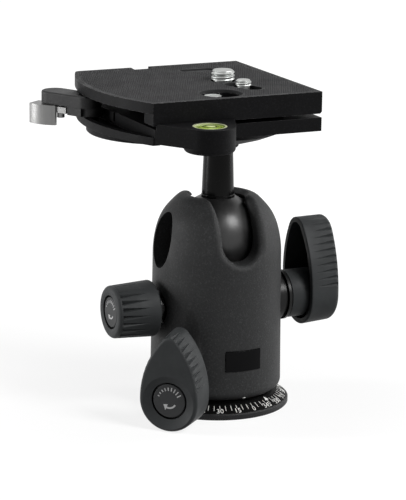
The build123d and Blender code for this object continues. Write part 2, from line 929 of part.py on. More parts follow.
def make_friction_knob():
    body = cone(friction_radius, friction_end_radius, friction_back, friction_face)
    body = round_ends(body, friction_front_round, friction_back_round)
    taper = (friction_radius - friction_end_radius) / friction_depth
    near = Pos(friction_radius - taper * flute_back, 0)
    far = Pos(friction_end_radius + taper * flute_front, 0)
    cutter = groove(near, far, flute_width, flute_depth, friction_back + flute_back,
                    friction_face - flute_front)
    for index in range(flute_count):
        body -= Rot(0, 0, index * 360 / flute_count) * cutter
    floor = cap_floor(friction_face)
    body -= dish(friction_dish_radius, friction_dish_depth, friction_face, 0)
    body -= cap_pocket(friction_cap_radius, floor, friction_face)
    body -= spindle_room(spindle_radius, friction_back, friction_back, floor)
    return FRICTION_SIDE * body


def knob_cap(side, radius, face):
    cap = rod(radius, cap_floor(face) + 0.05, face - cap_sink)
    return side * fillet(cap.faces().sort_by(Axis.Z)[-1].edges(), cap_edge)


# ---------------------------------------------------------------- ball and neck
def make_ball():
    ball = Pos(0, 0, ball_height) * Sphere(ball_radius)
    ball -= rod(ball_radius, neck_root, ball_height + ball_radius)
    return ball - rod(stud_radius + seat_gap, neck_root - stud_length, neck_root)


def make_neck():
    stud_end = neck_root - stud_length + 0.4
    waist = neck_root_radius - neck_step
    points = [
        (0, stud_end), (stud_radius, stud_end), (stud_radius, neck_root),
        (neck_root_radius, neck_root), (neck_root_radius, neck_root + neck_collar),
        (waist, neck_root + neck_collar + 0.3), (neck_top_radius, neck_top), (0, neck_top),
    ]
    hole = rod(platform_screw_radius + seat_gap, neck_top - platform_screw_length - 1, neck_top)
    return turned(points) - hole


def make_platform_screw():
    head_top = channel_floor - part_gap
    head_low = head_top - platform_screw_head_height
    screw = rod(platform_screw_radius, neck_top - platform_screw_length, head_low)
    screw += rod(platform_screw_head, head_low, head_top)
    socket = extrude(Pos(0, 0, head_top - socket_depth) * RegularPolygon(socket_radius, 6), beyond)
    return screw - socket


# ---------------------------------------------------------------- platform
def platform_outline(inset, low, high):
    left = ThreePointArc((plate_corner, -plate_half), (plate_corner - plate_bulge, 0),
                         (plate_corner, plate_half))
    sides = Polyline((plate_corner, plate_half), (plate_right, plate_half),
                     (plate_right, -plate_half), (plate_corner, -plate_half))
    face = make_face([left] + sides.edges())
    if inset > 0:
        face = offset(face, -inset, kind=Kind.INTERSECTION)
    return extrude(Pos(0, 0, low) * face, high - low)


def slab(x0, x1, y0, y1):
    # everything between four walls, from the base plane up
    return block(x0, x1, y0, y1, 0, beyond)


def flank(edge, run, low, high):
    # corner points up one side of a dovetail; a run of 0 is a plain wall
    if run == 0:
        return [(edge, low), (edge, high)]
    return [(edge, low), (edge, flank_low), (edge + run, flank_low + abs(run)), (edge + run, high)]


def dovetail(left, right, low, high, left_run, right_run, front, back):
    # a prism along Y with 45 degree undercuts
    corners = flank(right, -right_run, low, high) + flank(left, left_run, low, high)[::-1]
    section = make_face(Polyline(*corners, close=True))
    return extrude(Plane(origin=(0, back, 0), x_dir=(1, 0, 0), z_dir=(0, -1, 0)) * section, back - front)


def ear_shape(low, high, back):
    nose = Pos(bubble_x, bubble_y) * Circle(ear_radius)
    root = Polyline((ear_left, back), (ear_right, back))
    return extrude(Pos(0, 0, low) * make_hull(nose.edges() + root.edges()), high - low)


def make_bowl():
    # round underside of the platform, with a narrow groove around the neck boss
    shoulder = boss_bottom + boss_height
    top = deck_bottom + bowl_overlap
    steps = [(radius, boss_bottom + rise) for radius, rise in bowl_steps]
    bowl = turned([
        (0, boss_bottom), (boss_radius - boss_edge, boss_bottom), (boss_radius, boss_bottom + boss_edge),
        (boss_radius, shoulder), *steps, (bowl_radius, top), (0, top),
    ])
    groove_top = boss_bottom + bowl_groove_depth
    return bowl - tube(bowl_groove + bowl_groove_width, bowl_groove, boss_bottom, groove_top)


def make_tray():
    # the shallow left part of the platform, under the lever
    left_side = slab(-beyond, step_x + 2, -beyond, beyond)
    tray = platform_outline(platform_inset, tray_bottom, tray_top) & left_side
    hollow = platform_outline(platform_inset + tray_wall, tray_floor, beyond)
    return tray - (hollow & slab(-beyond, step_x, -beyond, beyond))


def make_bubble_ear():
    front = -plate_half + platform_inset
    ear = ear_shape(deck_bottom, deck_top, front)
    ear += ear_shape(deck_top - 1, ear_top, front) & slab(-beyond, beyond, -beyond, -plate_half - part_gap)
    cup = rod(ear_radius, deck_bottom - ear_cup_drop, deck_bottom + ear_cup_overlap)
    cup = fillet(cup.faces().sort_by(Axis.Z)[0].edges(), ear_cup_round)
    return ear + Pos(bubble_x, bubble_y) * cup


def neck_seat():
    # socket for the neck's end and the stepped hole of the platform screw
    seat = rod(neck_top_radius + seat_gap + part_gap, boss_bottom, neck_top + 0.05)
    seat += rod(platform_screw_radius + running_gap, neck_top, channel_floor)
    head_low = channel_floor - part_gap - platform_screw_head_height - 0.05
    return seat + rod(platform_screw_head + running_gap, head_low, channel_floor)


def make_clamp_base():
    edge = plate_half - platform_inset
    deck = platform_outline(platform_inset, deck_bottom, deck_top) & slab(step_x, beyond, -beyond, beyond)
    deck += block(plate_right - side_bar_width, plate_right + side_bar_proud, -edge, edge,
                  deck_bottom, deck_top)
    lip = Pos(lip_disc_x, 0) * rod(lip_disc_radius, deck_bottom - lip_drop, deck_bottom)
    lip = chamfer(lip.faces().sort_by(Axis.Z)[0].edges(), lip_disc_edge)
    body = deck + make_tray() + lip + make_bowl() + make_bubble_ear()
    vial_hole = rod(vial_radius + vial_ring + seat_gap, ear_top - vial_depth, ear_top)
    body -= Pos(bubble_x, bubble_y) * vial_hole
    body -= dovetail(channel_left, channel_right, channel_floor, deck_top + 1, 0, dovetail_run,
                     channel_front, plate_half + 1)
    jaw_room = jaw_half + running_gap
    body -= block(step_x - 1, channel_left + 1, lever_y - jaw_room, lever_y + jaw_room,
                  channel_floor, deck_top + 1)
    boss = Pos(lever_x, lever_y) * rod(pin_boss, tray_bottom, cam_bottom - pin_boss_gap)
    body += boss & platform_outline(platform_inset, tray_bottom, cam_bottom)
    body -= neck_seat()
    return body - Pos(lever_x, lever_y) * rod(lever_pin + seat_gap, tray_bottom + 0.4, cam_bottom)


def make_bubble_ring():
    ring = tube(vial_radius + vial_ring, vial_radius + 0.02, ear_top - vial_depth + vial_lift,
                ear_top - vial_lift)
    return Pos(bubble_x, bubble_y) * ring


def make_bubble_vial():
    vial = rod(vial_radius, ear_top - vial_depth + vial_lift, ear_top - vial_dome)
    top = Pos(0, 0, ear_top - vial_dome_radius - 0.05) * Sphere(vial_dome_radius)
    vial += top & rod(vial_radius, ear_top - vial_dome - 0.1, ear_top)
    return Pos(bubble_x, bubble_y) * vial


def make_clamp_jaw():
    tail = lever_x + cam_radius + cam_throw + jaw_gap
    nose = channel_left - running_gap
    low = channel_floor + running_gap
    section = make_face(Polyline(
        (tail, low), (nose, low), (nose, flank_low), (nose + dovetail_run, flank_low + dovetail_run),
        (nose + dovetail_run, deck_top), (tail, deck_top), close=True))
    side = Plane(origin=(0, lever_y + jaw_half, 0), x_dir=(1, 0, 0), z_dir=(0, -1, 0))
    return extrude(side * section, 2 * jaw_half)


# ---------------------------------------------------------------- lever
def lever_frame(shape):
    # local +X runs along the closed lever, local +Y points to the outside
    return Pos(lever_x, lever_y, 0) * Rot(0, 0, lever_angle) * shape


def make_clamp_lever():
    hub_end = Circle(lever_hub)
    free_end = Pos(lever_length, 0) * Circle(lever_half)
    arm = make_hull(hub_end.edges() + free_end.edges())
    arm = extrude(Pos(0, 0, lever_bottom) * arm, lever_thickness)
    arm = fillet(arm.faces().sort_by(Axis.Z)[-1].edges(), lever_edge)
    turn = math.radians(-lever_angle)
    cam_centre = Pos(cam_throw * math.cos(turn), cam_throw * math.sin(turn))
    body = arm + cam_centre * rod(cam_radius, cam_bottom, lever_bottom)
    body += block(0, block_reach, -cam_radius, cam_radius, cam_bottom, lever_bottom)
    body -= rod(lever_pin + running_gap, cam_bottom, lever_top)
    body -= rod(spring_room, lever_bottom + 0.4, lever_top)
    pin_hole = rod(catch_pin_radius + seat_gap, lever_bottom, lever_top - catch_pin_roof)
    return lever_frame(body - catch_pin_place() * pin_hole)


def make_lever_pin():
    head_top = lever_top - pin_head_sink
    head_low = head_top - pin_head
    pin = rod(lever_pin, tray_bottom + 0.5, head_low) + rod(spring_room - 0.1, head_low, head_top)
    pin -= block(-spring_room, spring_room, -pin_slot, pin_slot, head_top - pin_slot_depth, head_top)
    return Pos(lever_x, lever_y) * pin


def make_lever_spring():
    middle = (lever_pin + spring_room) / 2
    high = lever_top - pin_head_sink - pin_head - 0.1
    return Pos(lever_x, lever_y) * coil(middle, spring_wire, lever_bottom + 0.5, high, spring_turns)


def catch_pin_place():
    return Pos(catch_pin_at, catch_pin_side)


def make_lever_catch():
    # a strip on the catch pin that carries a turned-down, outward bulging thumb tab
    tab_top = catch_top + catch_tab_rise
    middle = (catch_tab_start + catch_tab_end) / 2
    half = (catch_tab_end - catch_tab_start) / 2
    strip = block(catch_pin_at - catch_tail, middle, catch_pin_side - catch_half,
                  catch_pin_side + catch_half, catch_bottom, catch_top)
    tab = block(-half, half, -catch_width, 0, catch_bottom, tab_top)
    tab += block(-half, half, -catch_tab_thick, 0, catch_tab_bottom, tab_top)
    tab &= Pos(0, -catch_bulge_radius) * rod(catch_bulge_radius, catch_tab_bottom, tab_top)
    body = strip + Pos(middle, catch_tab_side) * Rot(0, 0, catch_skew) * tab
    return lever_frame(body - catch_pin_place() * rod(catch_pin_radius + running_gap, catch_bottom, tab_top))


def make_catch_pin():
    pin = rod(catch_pin_radius, catch_bottom - 0.6, lever_top - catch_pin_roof - 0.1)
    pin += rod(catch_pin_radius + catch_pin_head, catch_bottom - 0.1 - catch_pin_head_height,
               catch_bottom - 0.1)
    return lever_frame(catch_pin_place() * pin)


# ---------------------------------------------------------------- camera plate
def small_slot(half_width, low, high):
    slot = SlotCenterToCenter(2 * slot_reach, 2 * half_width, rotation=slot_angle)
    return extrude(Pos(slot_x, slot_y, low) * slot, high - low)


def plate_openings(low, high):
    hole = Pos(large_screw_x, large_screw_y) * rod(large_screw_radius + screw_play, low, high)
    hole += small_slot(small_screw_radius + slot_play, low, high)
    return hole + Pos(well_x, well_y) * rod(well_radius, max(low, well_floor), high)


def back_notch(grow, low):
    return block(back_notch_left - grow, back_notch_right + grow, plate_half - back_notch_reach - grow,
                 plate_half + 1, low, plate_top + 1)


def make_camera_plate():
    flange = platform_outline(0, flange_bottom, plate_top)
    uprights = flange.edges().filter_by(Axis.Z)
    back_left = uprights.sort_by(lambda edge: edge.center().X - edge.center().Y)[0]
    body = fillet(back_left, plate_corner_round)
    body += block(block_left, plate_right, -plate_half, plate_half, block_bottom, flange_bottom + 1)
    body += block(plate_corner, block_left, -plate_half, -plate_half + rail_width,
                  block_bottom, flange_bottom + 1)
    right_low = body.edges().filter_by(Axis.Y).filter_by(
        lambda edge: abs(edge.center().X - plate_right) < 0.01
        and abs(edge.center().Z - block_bottom) < 0.01)
    body = chamfer(right_low, block_edge)
    body += dovetail(channel_left + dovetail_play, channel_right - dovetail_play, foot_bottom,
                     block_bottom + foot_overlap, dovetail_run, dovetail_run, -foot_half, foot_half)
    body -= platform_outline(pad_inset, plate_top - pad_recess, plate_top + 1)
    body -= plate_openings(foot_bottom - 1, plate_top + 1)
    head_room = rod(large_head_radius + part_gap, foot_bottom - 1, screw_head_top + 0.1)
    body -= Pos(large_screw_x, large_screw_y) * head_room
    body -= small_slot(small_head_radius + part_gap, foot_bottom - 1,
                       screw_head_top + washer_thickness + part_gap)
    body -= stowed_place() * rod(small_screw_radius + seat_gap, block_bottom + well_web, well_floor)
    return body - back_notch(0, plate_top - back_notch_depth)


def make_plate_pad():
    low = plate_top - pad_recess
    top = low + pad_thickness
    pad = platform_outline(pad_inset + pad_play, low, top)
    pad -= plate_openings(low - 1, plate_top + 1)
    recess = SlotCenterToCenter(pad_slot_length, pad_slot_width)
    pad -= extrude(Pos(pad_slot_x, pad_slot_y, top - pad_slot_depth) * recess, pad_thickness)
    pad -= Pos(pad_slit_x, pad_slit_y) * block(
        -pad_slit_half, pad_slit_half, -pad_slit_width / 2, pad_slit_width / 2, low, top)
    return pad - back_notch(pad_play, low - 1)


def camera_screw(radius, neck_radius, head_radius, slot_width, rise, tip):
    # slotted head, a thinner neck through the plate, then the thread at its major radius
    top = plate_top + rise
    screw = turned([
        (0, screw_head_bottom), (head_radius, screw_head_bottom), (head_radius, screw_head_top),
        (neck_radius, screw_head_top), (neck_radius, thread_start), (radius, thread_start),
        (radius, top - tip), (radius - tip, top), (0, top),
    ])
    slot_top = screw_head_bottom + screw_head_slot
    return screw - block(-head_radius, head_radius, -slot_width / 2, slot_width / 2,
                         screw_head_bottom, slot_top)


def make_large_screw():
    return Pos(large_screw_x, large_screw_y) * camera_screw(
        large_screw_radius, large_neck_radius, large_head_radius, large_slot_width, large_screw_rise,
        large_screw_tip)


def make_small_screw():
    return Pos(slot_x, slot_y) * camera_screw(
        small_screw_radius, small_neck_radius, small_head_radius, small_slot_width, small_screw_rise,
        small_screw_tip)


def make_small_washer():
    low = screw_head_top + 0.1
    washer = tube(small_head_radius, small_neck_radius + 0.1, low, low + washer_thickness)
    return Pos(slot_x, slot_y) * washer


def stowed_place():
    return Pos(well_x + stowed_x, well_y + stowed_y)


def make_stowed_screw():
    low = stowed_top - stowed_head_height
    slot_half = small_slot_width / 2
    slot_low = stowed_top - screw_head_slot
    screw = rod(stowed_head, low, stowed_top)
    screw -= block(-stowed_head, stowed_head, -slot_half, slot_half, slot_low, stowed_top)
    screw += rod(small_screw_radius, block_bottom + well_web + 0.2, low)
    return stowed_place() * screw


# ---------------------------------------------------------------- assembly
nodes = {
    "base_disc": make_base_disc(),
    "scale_ring": make_scale_ring(),
    "pivot_post": make_pivot_post(),
    "thread_bush": make_thread_bush(),
    "base_screws": make_base_screws(),
    "pivot_ring": make_pivot_ring(),
    "thrust_washer": make_thrust_washer(),
    "housing": make_housing(),
    "label_plate": make_label_plate(),
    "pivot_block": make_pivot_block(),
    "post_bush": make_post_bush(),
    "bore_plug": make_bore_plug(),
    "upper_liner": make_upper_liner(),
    "lock_bush": control_bush(LOCK_SIDE, spindle_radius),
    "friction_bush": control_bush(FRICTION_SIDE, spindle_radius),
    "pan_bush": control_bush(PAN_SIDE, pan_spindle_radius),
    "lock_collar": collar(LOCK_SIDE, collar_radius, spindle_radius + collar_bore_gap, collar_face),
    "friction_collar": collar(FRICTION_SIDE, friction_collar_radius, spindle_radius + collar_bore_gap,
                              friction_collar_face),
    "pan_collar": collar(PAN_SIDE, pan_collar_radius, pan_spindle_radius + collar_bore_gap,
                         pan_collar_face),
    "ball_seat": make_ball_seat(),
    "seat_carrier": make_seat_carrier(),
    "lock_plunger": make_lock_plunger(),
    "friction_plunger": plunger(FRICTION_SIDE, friction_plunger_end),
    "friction_springs": make_friction_springs(),
    "friction_nut": make_friction_nut(),
    "pan_shoe": PAN_SIDE * rod(shoe_radius, post_radius + shoe_gap, shoe_end),
    "lock_spindle": spindle(LOCK_SIDE, spindle_radius, plunger_floor + plunger_travel + spindle_end_gap,
                            collar_face + knob_gap + spindle_flange_lift,
                            cap_floor(lock_face) - spindle_end_gap),
    "friction_spindle": spindle(FRICTION_SIDE, spindle_radius, nut_back, friction_back + spindle_flange_lift,
                                cap_floor(friction_face) - spindle_end_gap),
    "pan_spindle": spindle(PAN_SIDE, pan_spindle_radius, shoe_end + spindle_end_gap,
                           pan_collar_face + knob_gap + spindle_flange_lift,
                           cap_floor(pan_face) - pan_cap_drop - spindle_end_gap),
    "lock_knob": make_lock_knob(),
    "lock_cap": knob_cap(LOCK_SIDE, cap_radius, lock_face),
    "friction_knob": make_friction_knob(),
    "friction_cap": knob_cap(FRICTION_SIDE, friction_cap_radius, friction_face),
    "pan_knob": make_pan_knob(),
    "pan_cap": knob_cap(PAN_SIDE, cap_radius, pan_face - pan_cap_drop),
    "ball": make_ball(),
    "neck": make_neck(),
    "platform_screw": make_platform_screw(),
    "clamp_base": make_clamp_base(),
    "bubble_ring": make_bubble_ring(),
    "bubble_vial": make_bubble_vial(),
    "clamp_jaw": make_clamp_jaw(),
    "clamp_lever": make_clamp_lever(),
    "lever_pin": make_lever_pin(),
    "lever_spring": make_lever_spring(),
    "lever_catch": make_lever_catch(),
    "catch_pin": make_catch_pin(),
    "camera_plate": make_camera_plate(),
    "plate_pad": make_plate_pad(),
    "large_screw": make_large_screw(),
    "small_screw": make_small_screw(),
    "small_washer": make_small_washer(),
    "stowed_screw": make_stowed_screw(),
}

os.makedirs("parts", exist_ok=True)
for name, shape in nodes.items():
    export_step(shape, f"parts/{name}.step")
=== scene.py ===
import math

import bmesh
import bpy
from mathutils import Matrix, Vector
from mathutils.bvhtree import BVHTree


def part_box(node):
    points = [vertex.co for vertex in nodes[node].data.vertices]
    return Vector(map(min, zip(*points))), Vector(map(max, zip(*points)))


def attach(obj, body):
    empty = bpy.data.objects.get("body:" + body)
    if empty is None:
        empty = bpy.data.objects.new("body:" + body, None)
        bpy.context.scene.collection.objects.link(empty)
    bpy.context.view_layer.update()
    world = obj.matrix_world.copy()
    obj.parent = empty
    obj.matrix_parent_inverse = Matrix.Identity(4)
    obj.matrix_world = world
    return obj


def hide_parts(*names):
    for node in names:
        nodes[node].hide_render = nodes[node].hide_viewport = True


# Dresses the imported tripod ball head: finishes for every node, and the fine pieces
# that the solids leave out (scale, index dot, threads, pad studs, cap marks, bubble).
# Metres, in the part's own frame: +Z up, -Y front, +X main lock knob.

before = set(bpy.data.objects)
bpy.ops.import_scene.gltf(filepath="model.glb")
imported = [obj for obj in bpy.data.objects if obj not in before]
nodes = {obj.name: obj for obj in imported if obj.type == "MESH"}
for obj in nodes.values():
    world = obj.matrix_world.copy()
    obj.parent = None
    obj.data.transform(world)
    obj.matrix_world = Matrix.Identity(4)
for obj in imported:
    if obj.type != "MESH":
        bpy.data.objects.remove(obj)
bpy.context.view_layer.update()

MM = 0.001


# ---------------------------------------------------------------- places read from the frame
def low(node):
    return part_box(node)[0]


def high(node):
    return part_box(node)[1]


def middle(node):
    first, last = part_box(node)
    return (first + last) / 2


def reach(node, angle):
    """How far a node reaches out from the vertical axis towards a compass angle."""
    place = nodes[node].matrix_world
    way = Vector((math.cos(angle), math.sin(angle), 0))
    return max((place @ corner.co).dot(way) for corner in nodes[node].data.vertices)


scale_foot_radius = high("scale_ring").x
scale_foot_height = low("scale_ring").z
scale_top_height = high("scale_ring").z
scale_top_radius = 24.5 * MM
housing_radius = high("housing").x
housing_bottom = low("housing").z
foot_round = 3.6 * MM
pad_top = high("plate_pad").z
vial_centre = middle("bubble_vial")
vial_top = high("bubble_vial").z
lock_axis_height = middle("lock_cap").z
pan_axis_height = middle("pan_cap").z

# Compass angles: 0 looks along +X, the front is at -90 degrees.
front = -90
lock_angle = 0
friction_angle = math.pi
pan_angle = math.radians(222.5)

# Corners of a square in order, as signs of x and y.
square = ((-1, -1), (1, -1), (1, 1), (-1, 1))

# UNC pitches of the 3/8-inch and the 1/4-inch thread.
coarse_pitch = 25.4 / 16 * MM
fine_pitch = 25.4 / 20 * MM


# ---------------------------------------------------------------- mesh helpers
def make_piece(name, shape, body, material, smooth=True):
    """Turns a bmesh into a piece that rides on a body."""
    sharp_from = 35
    bmesh.ops.recalc_face_normals(shape, faces=shape.faces)
    mesh = bpy.data.meshes.new(name)
    shape.to_mesh(mesh)
    shape.free()
    if smooth:
        mesh.shade_smooth()
        mesh.set_sharp_from_angle(angle=math.radians(sharp_from))
    mesh.materials.append(material)
    piece = bpy.data.objects.new(name, mesh)
    bpy.context.scene.collection.objects.link(piece)
    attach(piece, body)
    return piece


def bridge(shape, first, second):
    """Joins two closed rings of corners, equal in number, with four-sided faces."""
    for index in range(len(first)):
        after = (index + 1) % len(first)
        shape.faces.new([first[index], second[index], second[after], first[after]])


def add_prism(shape, outline, place, bottom, top):
    """A closed prism: place(x, y, lift) puts a point of the flat outline on its surface."""
    lower = [shape.verts.new(place(x, y, bottom)) for x, y in outline]
    upper = [shape.verts.new(place(x, y, top)) for x, y in outline]
    shape.faces.new(lower[::-1])
    shape.faces.new(upper)
    bridge(shape, lower, upper)


def add_turned(shape, profile, place, steps=96):
    """A closed ring or disc turned from (radius, height) points around place's own Z axis."""
    weld = 1e-7
    rows = []
    for step in range(steps):
        angle = 2 * math.pi * step / steps
        rows.append([
            shape.verts.new(place @ Vector((r * math.cos(angle), r * math.sin(angle), z)))
            for r, z in profile
        ])
    for step in range(steps):
        bridge(shape, rows[step], rows[(step + 1) % steps])
    bmesh.ops.remove_doubles(shape, verts=shape.verts[:], dist=weld)


def dome_profile(radius, crown, root, steps):
    """Half the section of a low dome that starts root below its place's origin."""
    angles = [math.pi / 2 * i / steps for i in range(steps)]
    arc = [(radius * math.cos(a), crown * math.sin(a)) for a in angles]
    return [(0, -root), (radius, -root)] + arc + [(0, crown)]


def add_text(shape, words, size, place, bottom, top):
    """Flat lettering, bent onto a surface by place(x, y, lift)."""
    curve = bpy.data.curves.new("words", "FONT")
    curve.body = words
    curve.size = size
    curve.align_x = "CENTER"
    curve.align_y = "CENTER"
    curve.extrude = 0.5
    curve.resolution_u = 3
    holder = bpy.data.objects.new("words", curve)
    bpy.context.scene.collection.objects.link(holder)
    bpy.context.view_layer.update()
    drawn = holder.evaluated_get(bpy.context.evaluated_depsgraph_get())
    flat = bpy.data.meshes.new_from_object(drawn)
    for corner in flat.vertices:
        lift = top if corner.co.z > 0 else bottom
        corner.co = place(corner.co.x, corner.co.y, lift)
    shape.from_mesh(flat)
    bpy.data.objects.remove(holder)
    bpy.data.curves.remove(curve)
    bpy.data.meshes.remove(flat)


def threaded(radius, pitch, depth, bottom, top, tip, centre, rows=10, steps=72):
    """A right-hand screw thread on a closed shank; rows is the number of bands in one pitch."""
    flank_slope = 1.9
    root_share = 0.3
    weld = 1e-6

    def point(band, step):
        height = bottom + (band + rows * step / steps - rows) * pitch / rows
        phase = (band / rows) % 1.0
        ridge = min(1.0, max(0.0, flank_slope * abs(2 * phase - 1) - root_share))
        run_out = min(1.0, max(0.0, (height - bottom) / pitch))
        height = min(max(height, bottom), top)
        out = radius - depth * (1 - ridge) * run_out
        out = min(out, radius - tip + (top - height))
        angle = 2 * math.pi * step / steps
        return centre + Vector((out * math.cos(angle), out * math.sin(angle), height))

    shape = bmesh.new()
    bands = math.ceil((top - bottom) / pitch * rows) + rows + 1
    grid = [[shape.verts.new(point(band, step)) for step in range(steps + 1)]
            for band in range(bands)]
    for band in range(bands - 1):
        for step in range(steps):
            shape.faces.new([grid[band][step], grid[band][step + 1],
                             grid[band + 1][step + 1], grid[band + 1][step]])
    bmesh.ops.remove_doubles(shape, verts=shape.verts[:], dist=weld)
    bmesh.ops.dissolve_degenerate(shape, edges=shape.edges[:], dist=weld)
    open_edges = [edge for edge in shape.edges if edge.is_boundary]
    bmesh.ops.holes_fill(shape, edges=open_edges)
    return shape


# ---------------------------------------------------------------- material helper
# Nearly all of a noise texture's values lie between these two.
NOISE_LOW, NOISE_HIGH = 0.3, 0.7


def add_node(tree, kind, inputs=None, **settings):
    """A shader node; each of its inputs gets a link or a plain value."""
    made = tree.nodes.new(kind)
    for key, value in settings.items():
        setattr(made, key, value)
    for key, value in (inputs or {}).items():
        if isinstance(value, bpy.types.NodeSocket):
            tree.links.new(value, made.inputs[key])
        else:
            made.inputs[key].default_value = value
    return made


def shade(colour, share):
    """A darker or lighter tone of a colour, held to white."""
    return [min(1.0, share * channel) for channel in colour]


class Finish:
    """A node material built from named steps; the shader's own sockets take plain values."""

    def __init__(self, name, colour, **sockets):
        self.material = bpy.data.materials.new(name)
        self.material.use_nodes = True
        self.tree = self.material.node_tree
        self.shader = self.tree.nodes["Principled BSDF"]
        self.shader.inputs["Base Color"].default_value = (*colour, 1.0)
        for socket, value in sockets.items():
            self.shader.inputs[socket.replace("_", " ")].default_value = value
        self.place = self.node("ShaderNodeTexCoord").outputs["Object"]

    def node(self, kind, inputs=None, **settings):
        return add_node(self.tree, kind, inputs, **settings)

    def stretched(self, x, y, z):
        """Object coordinates, scaled along each axis."""
        made = self.node("ShaderNodeMapping", {"Vector": self.place, "Scale": (x, y, z)})
        return made.outputs["Vector"]

    def noise(self, size, detail=3.0, roughness=0.55, where=None):
        """Soft noise whose features are about size metres across."""
        made = self.node("ShaderNodeTexNoise", {
            "Vector": where or self.place, "Scale": 1 / size,
            "Detail": detail, "Roughness": roughness})
        return made.outputs["Fac"]

    def cells(self, size):
        """Distance to the middle of irregular cells about size metres across."""
        made = self.node("ShaderNodeTexVoronoi", {"Vector": self.place, "Scale": 1 / size},
                         feature="F1")
        return made.outputs["Distance"]

    def span(self, source, start=NOISE_LOW, end=NOISE_HIGH, out_start=0.0, out_end=1.0):
        """Maps start..end of a value to out_start..out_end, held at both ends."""
        made = self.node("ShaderNodeMapRange", {
            "Value": source, "From Min": start, "From Max": end,
            "To Min": out_start, "To Max": out_end})
        return made.outputs["Result"]

    def calc(self, operation, first, second=0.0):
        made = self.node("ShaderNodeMath", {0: first, 1: second}, operation=operation)
        return made.outputs[0]

    def times(self, first, second):
        return self.calc("MULTIPLY", first, second)

    def blend(self, factor, first, second):
        """A colour between first, at 0, and second, at 1."""
        made = self.node("ShaderNodeMix", {"Factor": factor}, data_type="RGBA")
        for socket, value in ((made.inputs[6], first), (made.inputs[7], second)):
            if isinstance(value, bpy.types.NodeSocket):
                self.tree.links.new(value, socket)
            else:
                socket.default_value = (*value[:3], 1.0)
        return made.outputs[2]

    def edges(self, width, start, end):
        """1 along sharp edges, 0 on open surfaces."""
        rounded = self.soft_edges(width)
        plain = self.node("ShaderNodeNewGeometry").outputs["Normal"]
        facing = self.node("ShaderNodeVectorMath", {0: rounded, 1: plain}, operation="DOT_PRODUCT")
        return self.span(self.calc("SUBTRACT", 1.0, facing.outputs["Value"]), start, end)

    def open_sky(self, distance):
        """0 deep in hollows and corners, 1 on open surfaces."""
        made = self.node("ShaderNodeAmbientOcclusion", {"Distance": distance}, samples=8)
        return made.outputs["AO"]

    def soft_edges(self, width):
        return self.node("ShaderNodeBevel", {"Radius": width}, samples=6).outputs["Normal"]

    def bump(self, height, distance, strength, under=None):
        inputs = {"Height": height, "Distance": distance, "Strength": strength}
        if under is not None:
            inputs["Normal"] = under
        return self.node("ShaderNodeBump", inputs).outputs["Normal"]

    def set(self, socket, value):
        self.tree.links.new(value, self.shader.inputs[socket])


# ---------------------------------------------------------------- finishes
def powder_coat(name, colour, grain=0.35 * MM, roughness=0.62, wear_and_highlight_colour=(0.3, 0.3, 0.3),
                wear_and_highlight_share=0.35, gloss=0.2):
    """Matt powder coat on cast metal: fine orange-peel grain with painted glints, lighter along its
    edges as partly wear and partly painted edge highlight, and painted shade in its hollows.
    """
    cloud_size = 9 * MM
    edge_band_width, rub_size = 0.22 * MM, 1.6 * MM
    hollow_depth = 6 * MM
    edge_round = 0.25 * MM
    uneven = 0.06
    finish = Finish(name, colour, Specular_IOR_Level=gloss)
    grains = finish.noise(grain, detail=2.0, roughness=0.6)
    clouds = finish.noise(cloud_size, detail=3.0, roughness=0.5)
    patches = finish.span(finish.noise(rub_size, detail=4.0, roughness=0.65),
                          start=0.42, end=0.6, out_end=wear_and_highlight_share)
    # Lighter in patches along the edges: partly wear, partly a painted edge highlight.
    wear_and_edge_highlight = finish.times(finish.edges(edge_band_width, start=0.03, end=0.3), patches)
    body = finish.blend(finish.span(clouds), shade(colour, 0.82), shade(colour, 1.16))
    coarse = finish.span(finish.noise(2.4 * grain, detail=2.0, roughness=0.6), start=0.38, end=0.68)
    fine = finish.span(grains, start=0.35, end=0.75)
    speckles = finish.calc("ADD", finish.times(fine, 0.5), finish.times(coarse, 0.7))
    speckled = finish.blend(speckles, shade(colour, 0.6), body)
    # Painted glints: the brightest grain specks are lightened to 1.9 times the colour.
    painted_glints = finish.span(speckles, start=0.65, end=1.1)
    speckled = finish.blend(painted_glints, speckled, shade(colour, 1.9))
    # Painted shade: the colour darkens to 0.3 of itself deep in hollows and corners.
    painted_hollow_shade = finish.span(finish.open_sky(hollow_depth), start=0.15, end=0.75)
    shaded = finish.blend(painted_hollow_shade, shade(colour, 0.3), speckled)
    # The edges take the lighter colour, which is wear and painted edge highlight together.
    finish.set("Base Color", finish.blend(wear_and_edge_highlight, shaded, wear_and_highlight_colour))
    rough = finish.span(clouds, out_start=roughness - uneven, out_end=roughness + uneven)
    finish.set("Roughness", finish.calc("SUBTRACT", rough, finish.times(wear_and_edge_highlight, 0.5)))
    relief = finish.calc("ADD", grains, finish.times(finish.cells(grain * 1.8), 0.5))
    finish.set("Normal", finish.bump(relief, 0.07 * MM, 0.8, finish.soft_edges(edge_round)))
    return finish.material


